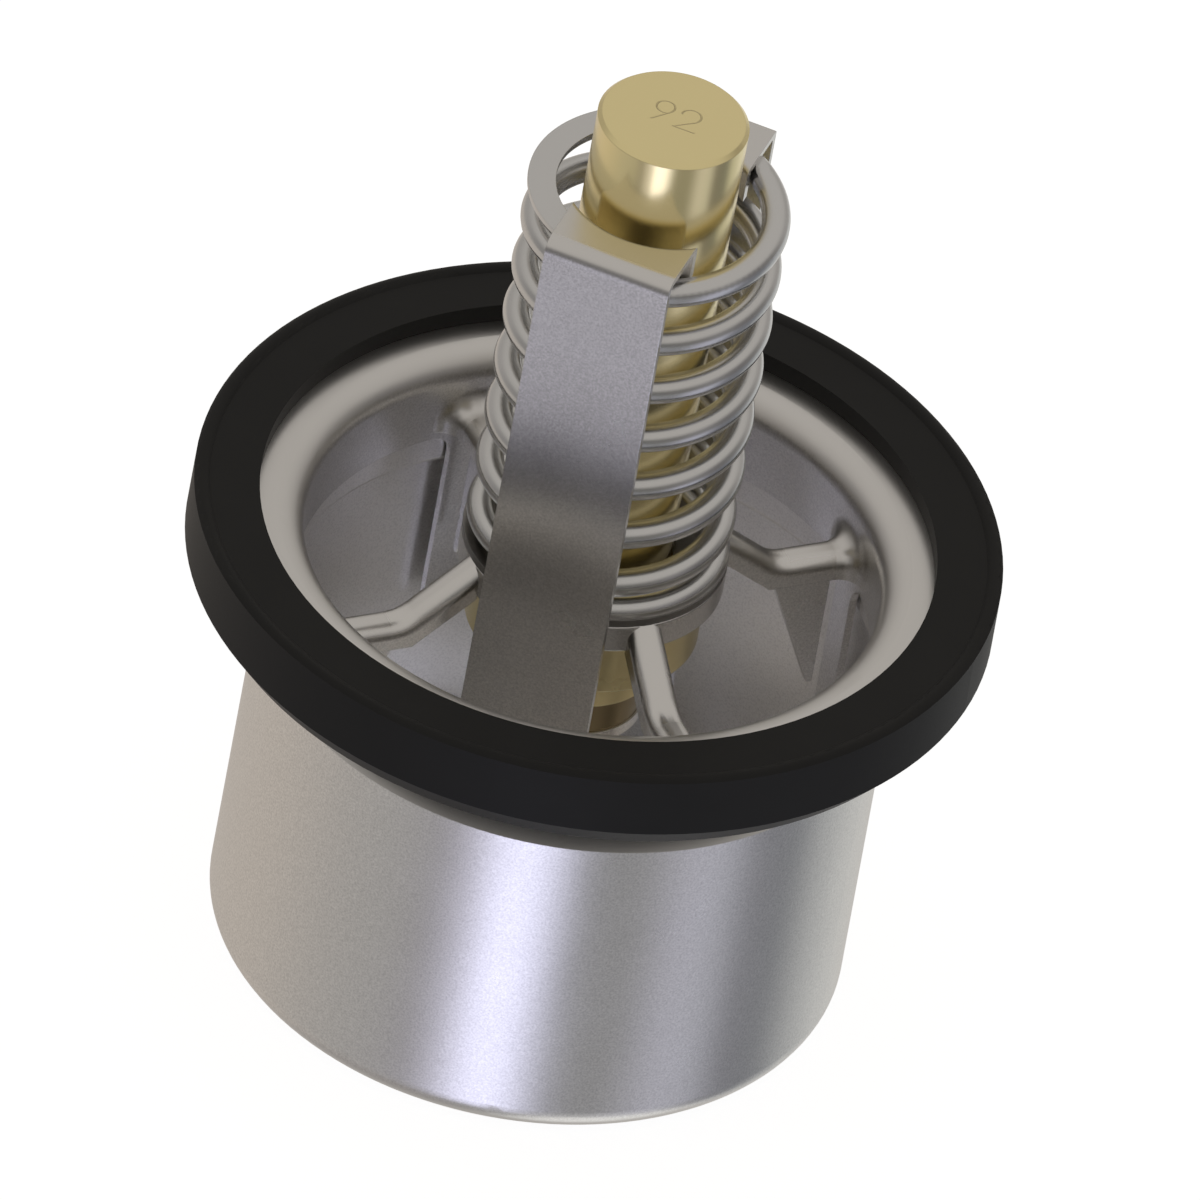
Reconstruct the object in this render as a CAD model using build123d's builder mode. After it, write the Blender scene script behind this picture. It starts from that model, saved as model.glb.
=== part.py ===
from build123d import *
import math
import os

os.makedirs("parts", exist_ok=True)

# Engine coolant thermostat with a ring slide valve, standing on its sleeve.
# Millimetres, +Z up along the axis, origin at the centre of the sleeve's bottom plane.
# The straps lie on the Y axis, the spokes and legs on the diagonals.

# Main sizes
ring_top = 55.5
capsule_rise = 54.8
sheet = 0.8
cup_inner_r = 30.3

# Pressed frame: flange, cup wall, legs, spokes and hub
flange_depth = 2.1
flange_width = 9.2
lip_bend_r = 3.0
window_depth = 12.2
window_corner_r = 2.8
leg_width = 3.6
leg_depth = 36.0
leg_count = 4
first_leg_angle = 45
spoke_width = 3.9
spoke_depth = 2.9
spoke_edge_r = 1.55
spoke_hollow_r = 0.8
spoke_bend_r = 4.0
spoke_wall_r = 2.2
knee_inset = 8.9
knee_drop = 8.5
hub_drop = 2.5
hub_height = 3.2
hub_edge_r = 0.3
hub_margin = 0.05
hub_clearance = 0.25
gusset_thickness = 1.0
gusset_inset = 2.1
gusset_start_inset = 9.9
gusset_drop = 26.3
gusset_tip = 0.6

# Rubber ring, moulded round the flange
ring_rim_width = 3.0
ring_lap = 3.9
ring_wall_height = 6.8
ring_height = 9.4
ring_foot_inset = 2.0
bead_width = 1.65
bead_height = 0.35
seat_lip_width = 1.1
seat_lip_gap = 0.3
lip_foot_width = 3.0
lip_shoulder_width = 1.4
lip_shoulder_drop = 1.6
rubber_gap = 0.04

# Spring and its seat washer
washer_thickness = 0.9
washer_clearance = 0.35
spring_mean_r = 12.45
wire_r = 1.5
spring_rise = 44.8
coil_pitch = 6.53
ground_depth = 0.3
closed_low_turn = 187
closed_high_turn = 168
end_angle = -80
points_per_turn = 16

# Wax capsule
can_r = 8.0
can_wall = 0.8
can_chamfer = 0.45
can_clearance = 0.1
flange_clearance = 0.5
collar_gap = 0.9
collar_drop = 13.3
collar_chamfer = 0.7
neck_r = 8.65
neck_drop = 17.7
guide_clearance = 0.05
stem_r = 7.7
stem_drop = 23.3
stem_ring_height = 1.3
stem_ring_step = 0.2
bore_clearance = 0.05
cone_r = 6.5
cone_height = 5.0
boss_height = 3.5
diaphragm_thickness = 0.8
plug_length = 5.0
disc_thickness = 0.8
soft_gap = 0.05

# Sliding sleeve, base plate and straps
leg_clearance = 0.3
sleeve_bend_r = 3.3
shoulder_depth = 17.0
shoulder_width = 1.07
neck_bend_r = 0.7
neck_rim_depth = 12.3
sleeve_floor_width = 3.0
base_thickness = 1.5
base_centre_r = 10.0
base_clearance = 0.2
base_arm_y_width = 14.0
base_arm_x_width = 7.0
strap_width = 14.0
strap_clearance = 0.35
strap_lip_gap = 0.25
strap_lip_height = 4.1
strap_bend_r = 1.8
strap_back_bend_r = 0.4
strap_inner_bend_r = 0.35
strap_lip_bend_r = 0.7
foot_length = 10.7
rivet_spacing = 7.6
rivet_inset = 4.5
rivet_r = 1.5
rivet_head_r = 2.7
rivet_head_height = 1.1
rivet_head_edge_r = 0.8
rivet_tail_r = 2.3
rivet_tail_height = 0.7
piston_r = 3.0
piston_tip_chamfer = 0.4
piston_seat_floor = 1.2
piston_seat_height = 4.0
piston_seat_wall = 2.45

# How near an edge lies to the level or side it is picked by, and how steep an upright edge is
pick_slack = 0.05
upright_share = 0.99

# Levels that follow
flange_top = ring_top - flange_depth
window_top = ring_top - window_depth
leg_bottom = ring_top - leg_depth
hub_top = ring_top - hub_drop
hub_bottom = hub_top - hub_height
knee_z = ring_top - knee_drop
capsule_top = ring_top + capsule_rise
capsule_seat = hub_top - sheet
collar_bottom = ring_top - collar_drop
neck_bottom = ring_top - neck_drop
stem_bottom = ring_top - stem_drop
spring_bottom = hub_top + washer_thickness
spring_top = ring_top + spring_rise
strap_top = spring_top + sheet
sleeve_shoulder = ring_top - shoulder_depth
neck_foot = sleeve_shoulder + shoulder_width
sleeve_top = ring_top - neck_rim_depth
seat_lip_bottom = sleeve_top + seat_lip_gap
ring_bottom = ring_top - ring_height
base_bottom = sheet
base_top = base_bottom + base_thickness

# Radii that follow
cup_outer_r = cup_inner_r + sheet
flange_outer_r = cup_inner_r + flange_width
ring_outer_r = flange_outer_r + ring_rim_width
ring_inner_r = flange_outer_r - ring_lap
ring_foot_r = ring_outer_r - ring_foot_inset
bead_inner_r = ring_outer_r - bead_width
sleeve_neck_inner_r = cup_outer_r + leg_clearance
sleeve_neck_r = sleeve_neck_inner_r + sheet
sleeve_outer_r = sleeve_neck_r + shoulder_width
inner_sleeve_r = sleeve_outer_r - sheet
bend_centre_r = sleeve_outer_r - sleeve_bend_r
seat_lip_r = cup_outer_r + seat_lip_width
hub_outer_r = spring_mean_r + wire_r + hub_margin
hub_hole_r = can_r + hub_clearance
collar_r = hub_outer_r - sheet - collar_gap
washer_inner_r = can_r + washer_clearance
can_flange_r = collar_r - can_wall - flange_clearance
guide_r = collar_r - can_wall - guide_clearance
bore_r = piston_r + bore_clearance
base_outer_r = bend_centre_r - base_clearance
sleeve_floor_r = bend_centre_r - sleeve_floor_width
strap_inner_y = spring_mean_r + wire_r + strap_clearance
strap_lip_r = spring_mean_r - wire_r - strap_lip_gap - sheet
foot_end_y = strap_inner_y + foot_length
rivet_x = rivet_spacing / 2
rivet_y = foot_end_y - rivet_inset


def arc_point(radius, angle, centre_r, centre_z):
    """Point (r, z) on an arc about (centre_r, centre_z)."""
    turn = math.radians(angle)
    return (centre_r + radius * math.cos(turn), centre_z + radius * math.sin(turn))


# The flange's bend into the cup wall
bend_r = cup_inner_r + lip_bend_r
bend_z = flange_top - lip_bend_r
under_r = lip_bend_r - sheet

# Rubber ring with a low bead round its top and a sealing lip below
bead_middle_r = ring_outer_r - bead_width / 2
bead_top = ring_top + bead_height
slot_top = flange_top + rubber_gap
slot_bottom = flange_top - sheet - rubber_gap
slot_r = flange_outer_r + rubber_gap
lip_inner_r = cup_outer_r + rubber_gap
lip_corner = arc_point(under_r - rubber_gap, 135, bend_r, bend_z)
with BuildPart() as rubber_ring:
    with BuildSketch(Plane.XZ):
        with BuildLine():
            Line((ring_inner_r, ring_top), (bead_inner_r, ring_top))
            ThreePointArc(
                (bead_inner_r, ring_top), (bead_middle_r, bead_top), (ring_outer_r, ring_top)
            )
            Polyline(
                (ring_outer_r, ring_top),
                (ring_outer_r, ring_top - ring_wall_height),
                (ring_foot_r, ring_bottom),
                (seat_lip_r + lip_foot_width, ring_bottom),
                (seat_lip_r + lip_shoulder_width, ring_bottom - lip_shoulder_drop),
                (seat_lip_r, seat_lip_bottom),
                (lip_inner_r, seat_lip_bottom),
                (lip_inner_r, bend_z),
            )
            ThreePointArc((lip_inner_r, bend_z), lip_corner, (bend_r, slot_bottom))
            Polyline(
                (bend_r, slot_bottom),
                (slot_r, slot_bottom),
                (slot_r, slot_top),
                (ring_inner_r, slot_top),
                (ring_inner_r, ring_top),
            )
        make_face()
    revolve(axis=Axis.Z)
rubber_ring.part.label = "rubber_ring"
export_step(rubber_ring.part, "parts/rubber_ring.step")

# Sizes that follow for the pressed steel frame
leg_half_angle = math.degrees(math.asin(leg_width / 2 / cup_inner_r))
window_half_angle = 45 - leg_half_angle
window_reach = 2 * cup_outer_r
window_side = window_reach * math.tan(math.radians(window_half_angle))
knee_r = cup_inner_r - knee_inset
gusset_outer_r = cup_inner_r - gusset_inset
gusset_inner_r = cup_inner_r - gusset_start_inset
gusset_bottom = ring_top - gusset_drop
crest_inner_r = hub_outer_r - sheet / 4
slope = math.atan2(hub_top - knee_z, knee_r - crest_inner_r)
low_knee_r = knee_r - spoke_depth * math.tan(slope / 2)
low_knee_z = knee_z - spoke_depth
low_start_z = low_knee_z + (low_knee_r - crest_inner_r) * math.tan(slope)
crest_end_r = cup_inner_r + sheet / 2
crest_bend_reach = spoke_bend_r * math.tan(slope / 2)
crest_bend_r = knee_r + crest_bend_reach
slope_angle = math.degrees(slope)
crest_bend = []
for share in (1, 0.5, 0):
    turn = -90 - share * slope_angle
    crest_bend.append(arc_point(spoke_bend_r, turn, crest_bend_r, knee_z + spoke_bend_r))
channel_width = spoke_width - 2 * sheet
channel_drop = sheet / math.cos(slope)
channel_start_z = hub_top - (hub_outer_r - crest_inner_r) * math.tan(slope) - channel_drop
channel_knee_r = knee_r - sheet * math.tan(slope / 2)
gusset_top = knee_z - sheet / 2
# One spoke as a solid bar with a rounded crest, along +X
with BuildPart() as spoke_bar:
    with BuildSketch(Plane.XZ):
        with BuildLine():
            Line((crest_inner_r, hub_top), crest_bend[0])
            ThreePointArc(*crest_bend)
            Polyline(
                crest_bend[-1],
                (crest_end_r, knee_z),
                (crest_end_r, low_knee_z),
                (low_knee_r, low_knee_z),
                (crest_inner_r, low_start_z),
                (crest_inner_r, hub_top),
            )
        make_face()
    extrude(amount=spoke_width / 2, both=True)
    crest_edges = []
    for edge in spoke_bar.edges():
        middle = edge.center()
        on_side = abs(abs(middle.Y) - spoke_width / 2) < pick_slack
        upright = abs((edge % 0).Z) > upright_share
        if on_side and middle.Z > knee_z - pick_slack and not upright:
            crest_edges.append(edge)
    fillet(crest_edges, radius=spoke_edge_r)

# The hollow that turns the bar into a channel
with BuildPart() as spoke_hollow:
    with BuildSketch(Plane.XZ):
        with BuildLine():
            Polyline(
                (hub_outer_r, channel_start_z),
                (channel_knee_r, knee_z - sheet),
                (cup_inner_r, knee_z - sheet),
                (cup_inner_r, low_knee_z - sheet),
                (low_knee_r, low_knee_z - sheet),
                (hub_outer_r, low_start_z - sheet),
                close=True,
            )
        make_face()
    extrude(amount=channel_width / 2, both=True)
    roof_edges = []
    for edge in spoke_hollow.edges():
        middle = edge.center()
        on_side = abs(abs(middle.Y) - channel_width / 2) < pick_slack
        upright = abs((edge % 0).Z) > upright_share
        if on_side and middle.Z > knee_z - sheet - pick_slack and not upright:
            roof_edges.append(edge)
    fillet(roof_edges, radius=spoke_hollow_r)

# The gusset plate in the middle of each spoke
with BuildPart() as gusset:
    with BuildSketch(Plane.XZ):
        with BuildLine():
            Polyline(
                (gusset_inner_r, gusset_top),
                (crest_end_r, gusset_top),
                (crest_end_r, low_knee_z),
                (gusset_outer_r, low_knee_z),
                (gusset_outer_r, gusset_bottom),
                (gusset_outer_r - gusset_tip, gusset_bottom),
                close=True,
            )
        make_face()
    extrude(amount=gusset_thickness / 2, both=True)

# Pressed steel frame: flange, cup wall, legs, hub and spokes
with BuildPart() as flange_frame:
    with BuildSketch(Plane.XZ):
        with BuildLine():
            Line((flange_outer_r, flange_top), (bend_r, flange_top))
            RadiusArc((bend_r, flange_top), (cup_inner_r, bend_z), -lip_bend_r)
            Polyline(
                (cup_inner_r, bend_z),
                (cup_inner_r, leg_bottom),
                (cup_outer_r, leg_bottom),
                (cup_outer_r, bend_z),
            )
            RadiusArc((cup_outer_r, bend_z), (bend_r, flange_top - sheet), under_r)
            Polyline(
                (bend_r, flange_top - sheet),
                (flange_outer_r, flange_top - sheet),
                (flange_outer_r, flange_top),
            )
        make_face()
    revolve(axis=Axis.Z)
    with BuildSketch(Plane.XY.offset(leg_bottom - 1)):
        with PolarLocations(0, leg_count):
            Polygon(
                (0, 0),
                (window_reach, window_side),
                (window_reach, -window_side),
                align=None,
            )
    extrude(amount=window_top - leg_bottom + 1, mode=Mode.SUBTRACT)
    corners = flange_frame.edges().filter_by_position(
        Axis.Z, window_top - pick_slack, window_top + pick_slack
    ).filter_by(GeomType.LINE)
    fillet(corners, radius=window_corner_r)
    # Hub, an inverted cup
    with BuildSketch(Plane.XZ):
        with BuildLine():
            Polyline(
                (hub_hole_r, hub_top),
                (hub_outer_r, hub_top),
                (hub_outer_r, hub_bottom),
                (hub_outer_r - sheet, hub_bottom),
                (hub_outer_r - sheet, hub_top - sheet),
                (hub_hole_r, hub_top - sheet),
                close=True,
            )
        make_face()
    revolve(axis=Axis.Z)
    hub_rim = flange_frame.edges().filter_by(GeomType.CIRCLE).filter_by_position(
        Axis.Z, hub_top - pick_slack, hub_top + pick_slack
    ).sort_by(SortBy.LENGTH)[-1]
    fillet(hub_rim, radius=hub_edge_r)
    # Spokes: solid bars first, so that they can be flared into the cup wall
    with PolarLocations(0, leg_count, start_angle=first_leg_angle):
        add(spoke_bar.part)
    wall_edges = []
    for edge in flange_frame.edges():
        middle = edge.center()
        reach = math.hypot(middle.X, middle.Y)
        at_wall = abs(reach - cup_inner_r) < sheet / 2
        at_spoke = low_knee_z < middle.Z - pick_slack < knee_z
        if at_wall and at_spoke and edge.length < spoke_width:
            wall_edges.append(edge)
    fillet(wall_edges, radius=spoke_wall_r)
    # Channels under the spokes, and the gusset in each
    with PolarLocations(0, leg_count, start_angle=first_leg_angle):
        add(spoke_hollow.part, mode=Mode.SUBTRACT)
        add(gusset.part)
flange_frame.part.label = "flange_frame"
export_step(flange_frame.part, "parts/flange_frame.step")

# Washer that spreads the spring's load on the hub
with BuildPart() as seat_washer:
    with BuildSketch(Plane.XY.offset(hub_top)):
        Circle(hub_outer_r)
        Circle(washer_inner_r, mode=Mode.SUBTRACT)
    extrude(amount=washer_thickness)
seat_washer.part.label = "seat_washer"
export_step(seat_washer.part, "parts/seat_washer.step")

# Main spring with closed and ground ends
wire_low = spring_bottom + ground_depth
wire_high = spring_top - ground_depth
rise_turn = (wire_high - wire_low) / coil_pitch * 360
total_turn = closed_low_turn + rise_turn + closed_high_turn
point_count = round(total_turn / 360 * points_per_turn)
coil_points = []
for index in range(point_count + 1):
    turned = total_turn * index / point_count
    climb = min(max(turned - closed_low_turn, 0), rise_turn)
    around = math.radians(end_angle + turned)
    coil_points.append(
        (
            spring_mean_r * math.cos(around),
            spring_mean_r * math.sin(around),
            wire_low + climb * coil_pitch / 360,
        )
    )
with BuildPart() as main_spring:
    with BuildLine():
        coil = Spline(*coil_points)
    with BuildSketch(Plane(origin=coil @ 0, z_dir=coil % 0)):
        Circle(wire_r)
    sweep(path=coil)
    with BuildSketch(Plane.XY.offset(spring_top)):
        Circle(2 * spring_mean_r)
    extrude(amount=2 * wire_r, mode=Mode.SUBTRACT)
    with BuildSketch(Plane.XY.offset(spring_bottom)):
        Circle(2 * spring_mean_r)
    extrude(amount=-2 * wire_r, mode=Mode.SUBTRACT)
main_spring.part.label = "main_spring"
export_step(main_spring.part, "parts/main_spring.step")

# Brass can of the wax capsule, closed at the top, flanged at the bottom
can_flange_top = capsule_seat - can_wall
can_flange_bottom = can_flange_top - can_wall
with BuildPart() as capsule_can:
    with BuildSketch(Plane.XZ):
        with BuildLine():
            Polyline(
                (0, capsule_top),
                (can_r - can_chamfer, capsule_top),
                (can_r, capsule_top - can_chamfer),
                (can_r, can_flange_top),
                (can_flange_r, can_flange_top),
                (can_flange_r, can_flange_bottom),
                (can_r - can_wall, can_flange_bottom),
                (can_r - can_wall, capsule_top - can_wall),
                (0, capsule_top - can_wall),
                close=True,
            )
        make_face()
    revolve(axis=Axis.Z)
capsule_can.part.label = "capsule_can"
export_step(capsule_can.part, "parts/capsule_can.step")

# Wax charge inside the can
with BuildPart() as wax_charge:
    with BuildSketch(Plane.XY.offset(can_flange_bottom)):
        Circle(can_r - can_wall - soft_gap)
    extrude(amount=capsule_top - can_wall - soft_gap - can_flange_bottom)
wax_charge.part.label = "wax_charge"
export_step(wax_charge.part, "parts/wax_charge.step")

# Crimped collar with a neck; it holds can, diaphragm and guide together
diaphragm_bottom = can_flange_bottom - diaphragm_thickness
guide_shoulder = collar_bottom + can_wall
with BuildPart() as crimp_collar:
    with BuildSketch(Plane.XZ):
        with BuildLine():
            Polyline(
                (can_r + can_clearance, capsule_seat),
                (collar_r, capsule_seat),
                (collar_r, collar_bottom + collar_chamfer),
                (collar_r - collar_chamfer, collar_bottom),
                (neck_r, collar_bottom),
                (neck_r, neck_bottom),
                (neck_r - can_wall, neck_bottom),
                (neck_r - can_wall, guide_shoulder),
                (collar_r - can_wall, guide_shoulder),
                (collar_r - can_wall, can_flange_top),
                (can_r + can_clearance, can_flange_top),
                close=True,
            )
        make_face()
    revolve(axis=Axis.Z)
crimp_collar.part.label = "crimp_collar"
export_step(crimp_collar.part, "parts/crimp_collar.step")

# Piston guide with a conical mouth and a stem
stem_ring_top = stem_bottom + stem_ring_height
stem_neck_r = stem_r - can_wall
with BuildPart() as piston_guide:
    with BuildSketch(Plane.XZ):
        with BuildLine():
            Polyline(
                (cone_r, diaphragm_bottom),
                (guide_r, diaphragm_bottom),
                (guide_r, guide_shoulder),
                (stem_r, guide_shoulder),
                (stem_r, stem_ring_top),
                (stem_neck_r, stem_ring_top),
                (stem_neck_r, stem_bottom),
                (bore_r, stem_bottom),
                (bore_r, diaphragm_bottom - cone_height),
                close=True,
            )
        make_face()
    revolve(axis=Axis.Z)
piston_guide.part.label = "piston_guide"
export_step(piston_guide.part, "parts/piston_guide.step")

# Steel ring round the end of the guide's stem
with BuildPart() as stem_ring:
    with BuildSketch(Plane.XY.offset(stem_bottom)):
        Circle(stem_r + stem_ring_step)
        Circle(stem_neck_r, mode=Mode.SUBTRACT)
    extrude(amount=stem_ring_height)
stem_ring.part.label = "stem_ring"
export_step(stem_ring.part, "parts/stem_ring.step")

# Rubber diaphragm with a conical boss
boss_r = cone_r - boss_height / cone_height * (cone_r - bore_r) - soft_gap
boss_bottom = diaphragm_bottom - boss_height
with BuildPart() as diaphragm:
    with BuildSketch(Plane.XZ):
        with BuildLine():
            Polyline(
                (0, can_flange_bottom),
                (can_flange_r, can_flange_bottom),
                (can_flange_r, diaphragm_bottom),
                (cone_r - soft_gap, diaphragm_bottom),
                (boss_r, boss_bottom),
                (0, boss_bottom),
                close=True,
            )
        make_face()
    revolve(axis=Axis.Z)
diaphragm.part.label = "diaphragm"
export_step(diaphragm.part, "parts/diaphragm.step")

# Rubber plug that presses on the piston through a slip disc
cone_bottom = diaphragm_bottom - cone_height
plug_bottom = boss_bottom - plug_length
with BuildPart() as rubber_plug:
    with BuildSketch(Plane.XZ):
        with BuildLine():
            Polyline(
                (0, boss_bottom),
                (boss_r, boss_bottom),
                (bore_r - soft_gap, cone_bottom),
                (bore_r - soft_gap, plug_bottom),
                (0, plug_bottom),
                close=True,
            )
        make_face()
    revolve(axis=Axis.Z)
rubber_plug.part.label = "rubber_plug"
export_step(rubber_plug.part, "parts/rubber_plug.step")

with BuildPart() as slip_disc:
    with BuildSketch(Plane.XY.offset(plug_bottom - disc_thickness)):
        Circle(bore_r - soft_gap)
    extrude(amount=disc_thickness)
slip_disc.part.label = "slip_disc"
export_step(slip_disc.part, "parts/slip_disc.step")

# Piston that pushes the base plate down
piston_top = plug_bottom - disc_thickness
piston_bottom = base_top + piston_seat_floor
with BuildPart() as piston:
    with BuildSketch(Plane.XY.offset(piston_bottom)):
        Circle(piston_r)
    extrude(amount=piston_top - piston_bottom)
    chamfer(piston.faces().sort_by(Axis.Z)[0].edges(), length=piston_tip_chamfer)
piston.part.label = "piston"
export_step(piston.part, "parts/piston.step")

with BuildPart() as piston_seat:
    with BuildSketch(Plane.XY.offset(base_top)):
        Circle(bore_r + piston_seat_wall)
    extrude(amount=piston_seat_height)
    with BuildSketch(Plane.XY.offset(piston_bottom)):
        Circle(bore_r)
    extrude(amount=piston_seat_height, mode=Mode.SUBTRACT)
piston_seat.part.label = "piston_seat"
export_step(piston_seat.part, "parts/piston_seat.step")

# Sliding sleeve, drawn in at the bottom, with a stepped-in neck round the cup
inner_step = sheet * math.tan(math.radians(22.5))
inner_shoulder = sleeve_shoulder - inner_step
inner_neck_foot = neck_foot - inner_step
with BuildPart() as sleeve:
    with BuildSketch(Plane.XZ):
        with BuildLine():
            Line((sleeve_floor_r, 0), (bend_centre_r, 0))
            ThreePointArc(
                (bend_centre_r, 0),
                arc_point(sleeve_bend_r, -45, bend_centre_r, sleeve_bend_r),
                (sleeve_outer_r, sleeve_bend_r),
            )
            Polyline(
                (sleeve_outer_r, sleeve_bend_r),
                (sleeve_outer_r, sleeve_shoulder),
                (sleeve_neck_r, neck_foot),
                (sleeve_neck_r, sleeve_top),
                (sleeve_neck_inner_r, sleeve_top),
                (sleeve_neck_inner_r, inner_neck_foot),
                (inner_sleeve_r, inner_shoulder),
                (inner_sleeve_r, sleeve_bend_r),
            )
            ThreePointArc(
                (inner_sleeve_r, sleeve_bend_r),
                arc_point(sleeve_bend_r - sheet, -45, bend_centre_r, sleeve_bend_r),
                (bend_centre_r, sheet),
            )
            Polyline((bend_centre_r, sheet), (sleeve_floor_r, sheet), (sleeve_floor_r, 0))
        make_face()
    revolve(axis=Axis.Z)
    neck_bend = sleeve.edges().filter_by(GeomType.CIRCLE).filter_by_position(
        Axis.Z, inner_neck_foot - pick_slack, inner_neck_foot + pick_slack
    )
    fillet(neck_bend, radius=neck_bend_r)
sleeve.part.label = "sleeve"
export_step(sleeve.part, "parts/sleeve.step")

# Base plate: a disc with arms that rest on the sleeve's inturned floor
rivet_spots = []
for side_x in (-1, 1):
    for side_y in (-1, 1):
        rivet_spots.append((side_x * rivet_x, side_y * rivet_y))
with BuildPart() as base_plate:
    with BuildSketch(Plane.XY.offset(base_bottom)):
        Circle(base_outer_r)
        with BuildSketch(mode=Mode.INTERSECT):
            Circle(base_centre_r)
            Rectangle(base_arm_y_width, 2 * base_outer_r)
            Rectangle(2 * base_outer_r, base_arm_x_width)
        with Locations(*rivet_spots):
            Circle(rivet_r, mode=Mode.SUBTRACT)
    extrude(amount=base_thickness)
base_plate.part.label = "base_plate"
export_step(base_plate.part, "parts/base_plate.step")

# Straps: hooked over the spring's top coil, footed on the base plate
strap_outer_y = strap_inner_y + sheet
foot_top = base_top + sheet
with BuildPart() as strap_blank:
    with BuildSketch(Plane.XY.offset(strap_top - strap_lip_height)):
        with Locations((0, -strap_outer_y / 2)):
            Rectangle(strap_width, strap_outer_y)
        Circle(strap_lip_r, mode=Mode.SUBTRACT)
    extrude(amount=strap_lip_height)
    with BuildSketch(Plane.XY.offset(strap_top - strap_lip_height)):
        with Locations((0, -strap_inner_y / 2)):
            Rectangle(2 * strap_width, strap_inner_y)
        Circle(strap_lip_r + sheet, mode=Mode.SUBTRACT)
    extrude(amount=strap_lip_height - sheet, mode=Mode.SUBTRACT)
    with BuildSketch(Plane.XY.offset(base_top)):
        with Locations((0, -(strap_inner_y + strap_outer_y) / 2)):
            Rectangle(strap_width, sheet)
    extrude(amount=strap_top - strap_lip_height - base_top)
    with BuildSketch(Plane.XY.offset(base_top)):
        with Locations((0, -(strap_inner_y + foot_end_y) / 2)):
            Rectangle(strap_width, foot_end_y - strap_inner_y)
        with Locations(*rivet_spots):
            Circle(rivet_r, mode=Mode.SUBTRACT)
    extrude(amount=sheet)
    cross_edges = strap_blank.edges().filter_by(Axis.X)
    inner_top = strap_top - sheet
    inner_fold = cross_edges.filter_by_position(Axis.Z, inner_top - pick_slack, inner_top + pick_slack)
    fillet(inner_fold.sort_by(Axis.Y)[0], radius=strap_inner_bend_r)
    lip_top = strap_blank.edges().filter_by(GeomType.CIRCLE)
    lip_top = lip_top.filter_by_position(Axis.Z, strap_top - pick_slack, strap_top + pick_slack)
    fillet(lip_top, radius=strap_lip_bend_r)
    foot_bend = strap_blank.edges().filter_by(Axis.X)
    foot_bend = foot_bend.filter_by_position(Axis.Z, base_top - pick_slack, base_top + pick_slack)
    fillet(foot_bend.sort_by(Axis.Y)[-1], radius=sheet)

with BuildPart() as strap_front:
    add(strap_blank.part)
    outer_fold = strap_front.edges().filter_by(Axis.X).group_by(Axis.Z)[-1]
    fillet(outer_fold.sort_by(Axis.Y)[0], radius=strap_bend_r)
strap_front.part.label = "strap_front"
export_step(strap_front.part, "parts/strap_front.step")

# The back strap's fold is sharper
with BuildPart() as strap_back:
    add(strap_blank.part.rotate(Axis.Z, 180))
    outer_fold = strap_back.edges().filter_by(Axis.X).group_by(Axis.Z)[-1]
    fillet(outer_fold.sort_by(Axis.Y)[-1], radius=strap_back_bend_r)
strap_back.part.label = "strap_back"
export_step(strap_back.part, "parts/strap_back.step")

# Rivets through the strap feet and the base plate
with BuildPart() as rivets:
    with BuildSketch(Plane.XY.offset(base_bottom)):
        with Locations(*rivet_spots):
            Circle(rivet_r)
    extrude(amount=foot_top - base_bottom)
    with BuildSketch(Plane.XY.offset(foot_top)):
        with Locations(*rivet_spots):
            Circle(rivet_head_r)
    extrude(amount=rivet_head_height)
    fillet(rivets.edges().group_by(Axis.Z)[-1], radius=rivet_head_edge_r)
    with BuildSketch(Plane.XY.offset(base_bottom)):
        with Locations(*rivet_spots):
            Circle(rivet_tail_r)
    extrude(amount=-rivet_tail_height)
rivets.part.label = "rivets"
export_step(rivets.part, "parts/rivets.step")
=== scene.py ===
import bpy
import math
from mathutils import Matrix, Vector


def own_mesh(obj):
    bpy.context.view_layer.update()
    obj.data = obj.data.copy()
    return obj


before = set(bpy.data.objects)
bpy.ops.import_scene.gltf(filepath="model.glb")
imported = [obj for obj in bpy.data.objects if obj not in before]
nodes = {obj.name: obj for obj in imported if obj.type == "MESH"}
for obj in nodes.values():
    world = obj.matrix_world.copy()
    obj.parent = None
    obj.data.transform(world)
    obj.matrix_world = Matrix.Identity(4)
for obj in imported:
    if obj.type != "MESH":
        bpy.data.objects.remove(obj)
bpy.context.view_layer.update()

# Camera fitted to the photograph: parallel projection, metres and degrees
photo_width = 0.12475
camera_turn = 15.3
camera_elevation = 38.58
camera_roll = 10.57
aim_right = 0.000135
aim_up = -0.008034
ring_top = 0.0555
camera_distance = 0.5
camera_near = 0.01
camera_far = 5.0

# Studio light: radiance below the horizon, at it, well above it and straight below.
# Azimuths are in degrees, from the camera's side toward its right.
low_light = (
    (-180, (0.68, 0.64, 0.59)),
    (-164, (0.55, 0.50, 0.45)),
    (-120, (0.55, 0.50, 0.45)),
    (-48, (0.41, 0.40, 0.39)),
    (-34, (0.30, 0.29, 0.30)),
    (-20, (0.62, 0.61, 0.72)),
    (-11, (1.42, 1.44, 1.85)),
    (-2, (1.42, 1.44, 1.85)),
    (20, (0.26, 0.26, 0.26)),
    (38, (0.26, 0.26, 0.26)),
    (60, (0.53, 0.53, 0.62)),
    (71, (0.51, 0.52, 0.59)),
    (86, (0.19, 0.19, 0.21)),
    (102, (0.19, 0.20, 0.22)),
    (122, (0.50, 0.51, 0.51)),
    (145, (0.66, 0.66, 0.64)),
    (180, (0.68, 0.64, 0.59)),
)
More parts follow.
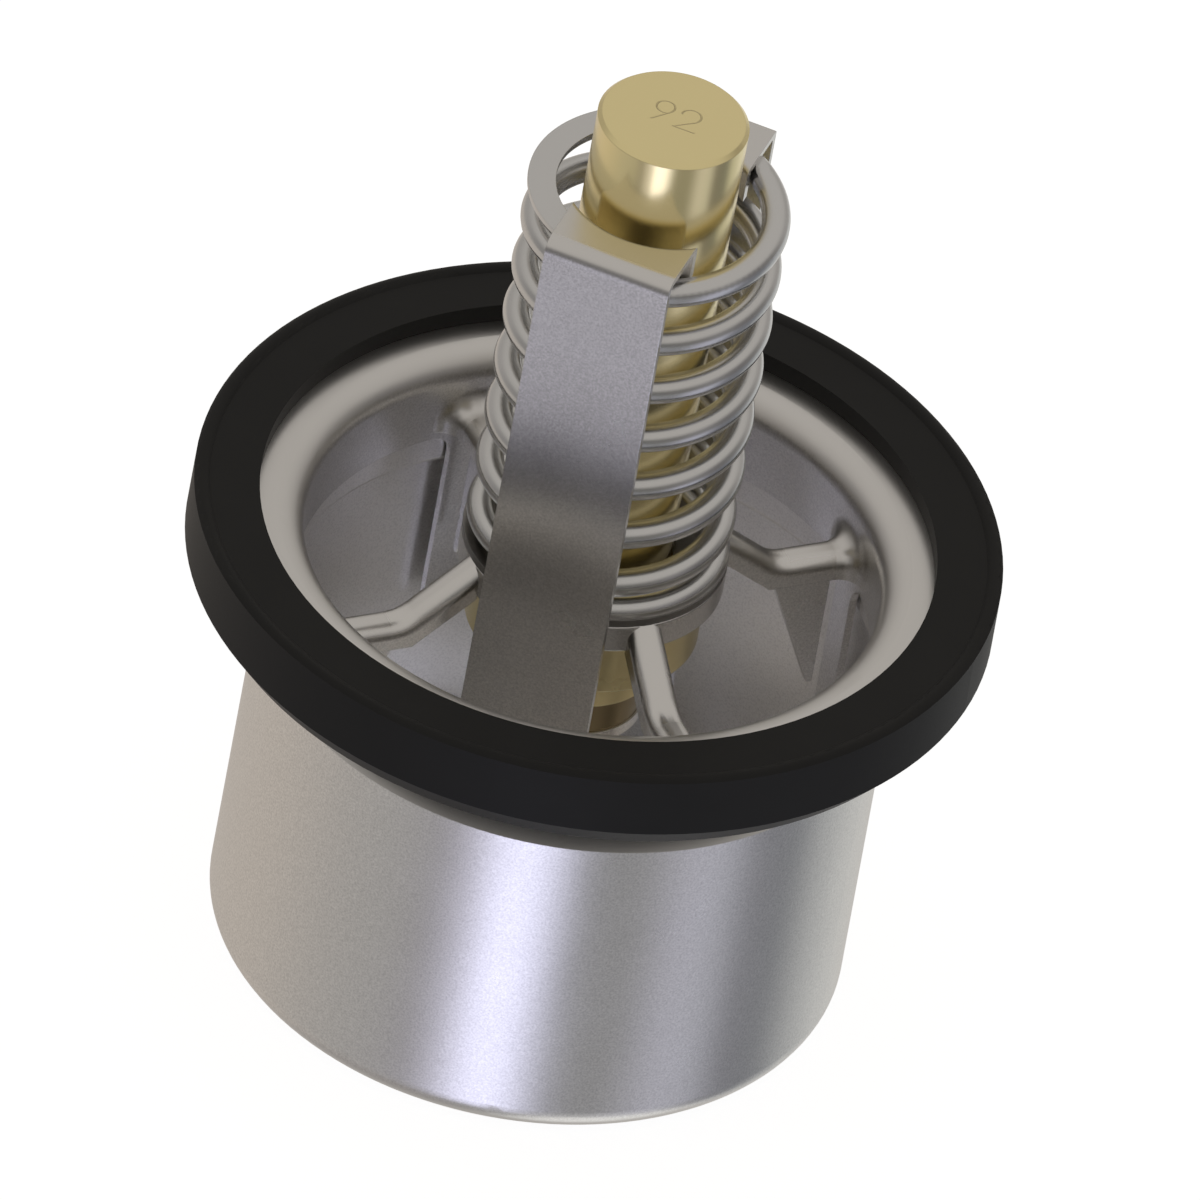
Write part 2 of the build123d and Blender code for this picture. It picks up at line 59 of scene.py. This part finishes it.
level_light = (
    (-180, (0.41, 0.39, 0.36)),
    (-135, (0.39, 0.37, 0.35)),
    (-90, (0.27, 0.26, 0.25)),
    (-45, (0.17, 0.16, 0.16)),
    (0, (0.15, 0.15, 0.14)),
    (45, (0.19, 0.18, 0.17)),
    (65, (0.25, 0.24, 0.24)),
    (90, (0.17, 0.16, 0.16)),
    (110, (0.22, 0.21, 0.20)),
    (130, (0.39, 0.37, 0.35)),
    (180, (0.41, 0.39, 0.36)),
)
high_light = (0.509, 0.486, 0.457)
under_light = (
    (-180, (0.45, 0.43, 0.41)),
    (-60, (0.33, 0.31, 0.30)),
    (8, (0.30, 0.29, 0.28)),
    (40, (1.00, 1.00, 0.98)),
    (95, (0.95, 0.95, 0.93)),
    (135, (0.50, 0.48, 0.46)),
    (180, (0.45, 0.43, 0.41)),
)

# Heights of a direction, 1 straight up, between which one light fades into the next
under_blend = (-0.90, -0.76)
low_blend = (-0.30, -0.05)
high_blend = (0.20, 0.60)

# Floor, shares and metres
floor_glow = 0.88
floor_albedo = 0.35
floor_size = 3.0

# Metal finish, metres and shares
grain_size = 0.00022
grain_detail = 2.0
sheet_grain_height = 0.000002
fine_grain_height = 0.000001
sheet_speckle = 1.2
cloud_size = 0.008
cloud_detail = 3.0
cloud_share = 0.05
tint_span = 0.28
finish_span = 0.1
upright_limits = (0.25, 0.55)
wall_limits = (-0.001, 0.001)
edge_radius = 0.00012
edge_samples = 4
steel_colour = (0.76, 0.745, 0.725)

# Rubber and wax finish, metres and shares
moulded_cloud_size = 1 / 150
moulded_detail = 2.0
moulded_span = 0.1
moulded_grain_height = 0.000002

# Stamped opening temperature on the cap's top, strokes in millimetres from the axis
nine_centre = (-1.42, 1.23)
nine_radius = 0.97
nine_tail_start = (-0.64, 0.66)
nine_tail_end = (-2.07, -1.30)
two_centre = (1.50, 1.15)
two_radius = 1.05
two_arc_start = (0.45, 1.15)
two_diagonal_start = (2.21, 0.38)
two_corner = (0.40, -1.28)
two_base_end = (2.69, -1.25)
stroke_half_width = 0.00013
stroke_depth = 0.00012


def place_camera():
    """A parallel camera that looks along the photograph's line of sight."""
    turn = math.radians(camera_turn)
    tilt = math.radians(camera_elevation)
    roll = math.radians(camera_roll)
    around = Matrix.Rotation(turn, 3, "Z")
    right = around @ Vector(
        (math.cos(roll), math.sin(roll) * math.sin(tilt), math.sin(roll) * math.cos(tilt))
    )
    up = around @ Vector(
        (-math.sin(roll), math.cos(roll) * math.sin(tilt), math.cos(roll) * math.cos(tilt))
    )
    back = right.cross(up)
    middle = Vector((0, 0, ring_top)) + aim_right * right + aim_up * up
    data = bpy.data.cameras.new("camera")
    data.type = "ORTHO"
    data.ortho_scale = photo_width
    data.clip_start = camera_near
    data.clip_end = camera_far
    camera = bpy.data.objects.new("camera", data)
    bpy.context.scene.collection.objects.link(camera)
    place = Matrix((right, up, back)).transposed().to_4x4()
    place.translation = middle + camera_distance * back
    camera.matrix_world = place
    bpy.context.scene.camera = camera


def new_tree(owner):
    """An empty node tree for a material or a world."""
    owner.use_nodes = True
    owner.node_tree.nodes.clear()
    return owner.node_tree


def math_node(tree, operation, *inputs):
    """A Math node; each input is a socket or a number."""
    node = tree.nodes.new("ShaderNodeMath")
    node.operation = operation
    for socket, value in zip(node.inputs, inputs):
        if isinstance(value, (int, float)):
            socket.default_value = value
        else:
            tree.links.new(value, socket)
    return node.outputs[0]


def noise(tree, place, size, detail):
    """Noise whose cells are about the given size in metres."""
    node = tree.nodes.new("ShaderNodeTexNoise")
    node.inputs["Scale"].default_value = 1.0 / size
    node.inputs["Detail"].default_value = detail
    tree.links.new(place, node.inputs["Vector"])
    return node.outputs["Fac"]


def rescale(tree, value, limits, results=(0.0, 1.0)):
    """Maps a range of values smoothly onto another."""
    node = tree.nodes.new("ShaderNodeMapRange")
    node.interpolation_type = "SMOOTHSTEP"
    node.inputs["From Min"].default_value = limits[0]
    node.inputs["From Max"].default_value = limits[1]
    node.inputs["To Min"].default_value = results[0]
    node.inputs["To Max"].default_value = results[1]
    tree.links.new(value, node.inputs["Value"])
    return node.outputs["Result"]


def bump(tree, height, distance, normal=None):
    """A bump, on top of another normal if there is one."""
    node = tree.nodes.new("ShaderNodeBump")
    node.inputs["Distance"].default_value = distance
    tree.links.new(height, node.inputs["Height"])
    if normal:
        tree.links.new(normal, node.inputs["Normal"])
    return node.outputs["Normal"]


def light_by_azimuth(tree, place, levels):
    """A ramp of radiance levels round the object."""
    ramp = tree.nodes.new("ShaderNodeValToRGB")
    stops = ramp.color_ramp.elements
    while len(stops) < len(levels):
        stops.new(0.5)
    for stop, (degrees, colour) in zip(stops, levels):
        stop.position = degrees / 360 + 0.5
        stop.color = (*colour, 1)
    ramp.color_ramp.interpolation = "EASE"
    tree.links.new(place, ramp.inputs["Fac"])
    return ramp.outputs["Color"]


def blend_by_height(tree, height, limits, below, above):
    """Mixes two colours by the height of the direction; each is a colour or a socket."""
    mix = tree.nodes.new("ShaderNodeMix")
    mix.data_type = "RGBA"
    tree.links.new(rescale(tree, height, limits), mix.inputs["Factor"])
    for name, colour in (("A", below), ("B", above)):
        socket = next(one for one in mix.inputs if one.name == name and one.type == "RGBA")
        if isinstance(colour, tuple):
            socket.default_value = (*colour, 1)
        else:
            tree.links.new(colour, socket)
    return next(one for one in mix.outputs if one.type == "RGBA")


def light_studio():
    """Soft light from all round, brighter and darker by direction; the camera sees white."""
    world = bpy.data.worlds.new("studio")
    bpy.context.scene.world = world
    tree = new_tree(world)
    links = tree.links
    direction = tree.nodes.new("ShaderNodeTexCoord").outputs["Generated"]
    parts = tree.nodes.new("ShaderNodeSeparateXYZ")
    links.new(direction, parts.inputs[0])
    height = parts.outputs["Z"]
    toward = math_node(tree, "MULTIPLY", parts.outputs["Y"], -1.0)
    angle = math_node(tree, "ARCTAN2", parts.outputs["X"], toward)
    turned = math_node(tree, "SUBTRACT", angle, math.radians(camera_turn))
    share = math_node(tree, "DIVIDE", turned, 2 * math.pi)
    place = math_node(tree, "FRACT", math_node(tree, "ADD", share, 1.5))
    low = light_by_azimuth(tree, place, low_light)
    level = light_by_azimuth(tree, place, level_light)
    under = light_by_azimuth(tree, place, under_light)
    lowest = blend_by_height(tree, height, under_blend, under, low)
    lower = blend_by_height(tree, height, low_blend, lowest, level)
    whole = blend_by_height(tree, height, high_blend, lower, high_light)
    path = tree.nodes.new("ShaderNodeLightPath")
    studio = tree.nodes.new("ShaderNodeBackground")
    links.new(whole, studio.inputs["Color"])
    white = tree.nodes.new("ShaderNodeBackground")
    white.inputs["Color"].default_value = (1, 1, 1, 1)
    choose = tree.nodes.new("ShaderNodeMixShader")
    links.new(path.outputs["Is Camera Ray"], choose.inputs["Fac"])
    links.new(studio.outputs[0], choose.inputs[1])
    links.new(white.outputs[0], choose.inputs[2])
    output = tree.nodes.new("ShaderNodeOutputWorld")
    links.new(choose.outputs[0], output.inputs["Surface"])


def lay_floor():
    """A plain pale floor that takes the object's shadow; only the camera sees it."""
    half = floor_size / 2
    corners = [(-half, -half, 0), (half, -half, 0), (half, half, 0), (-half, half, 0)]
    mesh = bpy.data.meshes.new("floor")
    mesh.from_pydata(corners, [], [(0, 1, 2, 3)])
    floor = bpy.data.objects.new("floor", mesh)
    bpy.context.scene.collection.objects.link(floor)
    material = bpy.data.materials.new("pale_floor")
    tree = new_tree(material)
    shader = tree.nodes.new("ShaderNodeBsdfPrincipled")
    shader.inputs["Base Color"].default_value = (floor_albedo, floor_albedo, floor_albedo, 1)
    shader.inputs["Roughness"].default_value = 1.0
    shader.inputs["Specular IOR Level"].default_value = 0.0
    shader.inputs["Emission Color"].default_value = (1, 1, 1, 1)
    shader.inputs["Emission Strength"].default_value = floor_glow
    output = tree.nodes.new("ShaderNodeOutputMaterial")
    tree.links.new(shader.outputs[0], output.inputs["Surface"])
    mesh.materials.append(material)
    floor.visible_diffuse = False
    floor.visible_glossy = False
    floor.visible_transmission = False
    floor.visible_shadow = False


def vector_node(tree, operation, output, *inputs):
    """A Vector Math node; each input is a socket or a point."""
    node = tree.nodes.new("ShaderNodeVectorMath")
    node.operation = operation
    for socket, value in zip(node.inputs, inputs):
        if isinstance(value, tuple):
            socket.default_value = value
        else:
            tree.links.new(value, socket)
    return node.outputs[output]


def clamp(tree, value):
    """Keeps a value between 0 and 1."""
    node = tree.nodes.new("ShaderNodeClamp")
    tree.links.new(value, node.inputs["Value"])
    return node.outputs["Result"]


def flat_point(x, y):
    """A point of the digits' plane in metres, from millimetres."""
    return (x / 1000, y / 1000, 0.0)


def line_distance(tree, place, start, end):
    """Distance from a straight stroke."""
    first = Vector(flat_point(*start))
    run = Vector(flat_point(*end)) - first
    offset = vector_node(tree, "SUBTRACT", "Vector", place, tuple(first))
    along = vector_node(tree, "DOT_PRODUCT", "Value", offset, tuple(run / run.length_squared))
    share = clamp(tree, along)
    step = vector_node(tree, "MULTIPLY", "Vector", tuple(run), share)
    return vector_node(tree, "DISTANCE", "Value", offset, step)


def circle_distance(tree, place, centre, radius):
    """Distance from a round stroke."""
    middle = vector_node(tree, "DISTANCE", "Value", place, flat_point(*centre))
    return math_node(tree, "ABSOLUTE", math_node(tree, "SUBTRACT", middle, radius / 1000))


def stamped_digits(tree, flat):
    """Height of the cap's top round the stamped opening temperature: 0 in a stroke, 1 outside."""
    nine = circle_distance(tree, flat, nine_centre, nine_radius)
    nine_tail = line_distance(tree, flat, nine_tail_start, nine_tail_end)
    two = circle_distance(tree, flat, two_centre, two_radius)
    chord = Vector(flat_point(*two_diagonal_start)) - Vector(flat_point(*two_arc_start))
    across = Vector((chord.y, -chord.x, 0.0)).normalized()
    offset = vector_node(tree, "SUBTRACT", "Vector", flat, flat_point(*two_arc_start))
    below = vector_node(tree, "DOT_PRODUCT", "Value", offset, tuple(across))
    two_arc = math_node(tree, "MAXIMUM", two, below)
    two_diagonal = line_distance(tree, flat, two_diagonal_start, two_corner)
    two_base = line_distance(tree, flat, two_corner, two_base_end)
    nearest = nine
    for stroke in (nine_tail, two_arc, two_diagonal, two_base):
        nearest = math_node(tree, "MINIMUM", nearest, stroke)
    return rescale(tree, nearest, (0.0, stroke_half_width))


def uneven_tint(tree, shader, share, colour, span):
    """A colour that drifts by its span round the given one, as a share from 0 to 1 drifts."""
    tint = tree.nodes.new("ShaderNodeValToRGB")
    low = [channel * (1 - span) for channel in colour]
    high = [channel * (1 + span) for channel in colour]
    tint.color_ramp.elements[0].color = (*low, 1)
    tint.color_ramp.elements[1].color = (*high, 1)
    tree.links.new(share, tint.inputs["Fac"])
    tree.links.new(tint.outputs["Color"], shader.inputs["Base Color"])


def metal(name, colour, roughness, grain_height, speckle=0.0, inner=None, stamp=None):
    """Satin metal with softened edges and a grain on upright faces.

    inner is the roughness of its inner walls and how much lighter their colour is painted, painted
    light for the brighter light inside.
    stamp gives the height of a mark stamped into its top.
    """
    inner_roughness, inner_painted_light = inner or (roughness, 0.0)
    material = bpy.data.materials.new(name)
    tree = new_tree(material)
    links = tree.links
    coordinates = tree.nodes.new("ShaderNodeTexCoord")
    place = coordinates.outputs["Object"]
    facing = coordinates.outputs["Normal"]
    shader = tree.nodes.new("ShaderNodeBsdfPrincipled")
    shader.inputs["Metallic"].default_value = 1.0

    parts = tree.nodes.new("ShaderNodeSeparateXYZ")
    links.new(facing, parts.inputs[0])
    slope = math_node(tree, "ABSOLUTE", parts.outputs["Z"])
    upright = rescale(tree, slope, upright_limits, (1.0, 0.0))
    grain = noise(tree, place, grain_size, grain_detail)
    relief = math_node(tree, "MULTIPLY", math_node(tree, "SUBTRACT", grain, 0.5), upright)
    flat = vector_node(tree, "MULTIPLY", "Vector", place, (1.0, 1.0, 0.0))
    outward = vector_node(tree, "DOT_PRODUCT", "Value", flat, facing)

    dots = math_node(tree, "MULTIPLY", relief, speckle)
    cloud = noise(tree, place, cloud_size, cloud_detail)
    drift = math_node(tree, "MULTIPLY", math_node(tree, "SUBTRACT", cloud, 0.5), cloud_share)
    # Painted light: inner walls get a lighter colour, standing in for the brighter light inside the
    # sleeve.
    painted_inner_light = rescale(tree, outward, wall_limits, (0.5 + inner_painted_light, 0.5))
    share = math_node(tree, "ADD", math_node(tree, "ADD", dots, drift), painted_inner_light)
    uneven_tint(tree, shader, share, colour, tint_span)

    wall = rescale(tree, outward, wall_limits, (inner_roughness, roughness))
    uneven = rescale(tree, cloud, (0.0, 1.0), (1 - finish_span, 1 + finish_span))
    links.new(math_node(tree, "MULTIPLY", wall, uneven), shader.inputs["Roughness"])

    edge = tree.nodes.new("ShaderNodeBevel")
    edge.samples = edge_samples
    edge.inputs["Radius"].default_value = edge_radius
    normal = bump(tree, relief, grain_height, edge.outputs["Normal"])
    if stamp:
        normal = bump(tree, stamp(tree, flat), stroke_depth, normal)
    links.new(normal, shader.inputs["Normal"])
    output = tree.nodes.new("ShaderNodeOutputMaterial")
    links.new(shader.outputs[0], output.inputs["Surface"])
    return material


def moulded(name, colour, roughness, gloss, grain_size):
    """Rubber or wax with a fine grain."""
    material = bpy.data.materials.new(name)
    tree = new_tree(material)
    links = tree.links
    place = tree.nodes.new("ShaderNodeTexCoord").outputs["Object"]
    shader = tree.nodes.new("ShaderNodeBsdfPrincipled")
    shader.inputs["Specular IOR Level"].default_value = gloss
    cloud = noise(tree, place, moulded_cloud_size, moulded_detail)
    uneven_tint(tree, shader, cloud, colour, moulded_span)
    grain = noise(tree, place, grain_size, moulded_detail)
    span = 2 * roughness * moulded_span
    smoothest = roughness * (1 - moulded_span)
    rough = math_node(tree, "MULTIPLY_ADD", grain, span, smoothest)
    links.new(rough, shader.inputs["Roughness"])
    links.new(bump(tree, grain, moulded_grain_height), shader.inputs["Normal"])
    output = tree.nodes.new("ShaderNodeOutputMaterial")
    links.new(shader.outputs[0], output.inputs["Surface"])
    return material


def dress(node, material):
    """Gives a CAD node its material."""
    nodes[node].data.materials.clear()
    nodes[node].data.materials.append(material)


bpy.context.scene.view_settings.view_transform = "Standard"
light_studio()
lay_floor()
place_camera()

steel = metal(
    "pressed_steel", steel_colour, 0.26, sheet_grain_height, sheet_speckle, inner=(0.34, 0.0)
)
# The sleeve's inner walls are painted lighter: painted light for the brightness inside it.
sleeve_steel = metal(
    "sleeve_steel", steel_colour, 0.29, sheet_grain_height, sheet_speckle, inner=(0.42, 0.4)
)
wire_steel = metal("spring_steel", (0.707, 0.704, 0.697), 0.25, fine_grain_height)
brass = metal(
    "stamped_brass", (0.978, 0.84, 0.452), 0.20, fine_grain_height, stamp=stamped_digits
)
collar_brass = metal("collar_brass", (0.84, 0.72, 0.40), 0.26, fine_grain_height)
bronze = metal("dark_bronze", (0.27, 0.215, 0.125), 0.25, fine_grain_height)
# Painted shade: the seat washer is coloured dark for the shaded band under the spring's bottom
# coil.
painted_shade_washer_steel = metal("painted_shade_washer_steel", (0.26, 0.25, 0.24), 0.30, fine_grain_height)
black_rubber = moulded("black_rubber", (0.0212, 0.0210, 0.0205), 0.5, 0.12, 0.00015)
wax = moulded("wax", (0.5, 0.45, 0.3), 0.6, 0.5, 0.0002)

for node in ("flange_frame", "base_plate", "strap_front", "strap_back", "piston_seat", "stem_ring"):
    dress(node, steel)
for node in ("main_spring", "rivets", "piston"):
    dress(node, wire_steel)
dress("sleeve", sleeve_steel)
dress("capsule_can", brass)
dress("crimp_collar", collar_brass)
dress("piston_guide", bronze)
# The seat washer takes the dark colour that paints the shade under the bottom coil.
dress("seat_washer", painted_shade_washer_steel)
for node in ("rubber_ring", "diaphragm", "rubber_plug"):
    dress(node, black_rubber)
for node in ("wax_charge", "slip_disc"):
    dress(node, wax)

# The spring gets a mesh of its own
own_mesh(nodes["main_spring"])
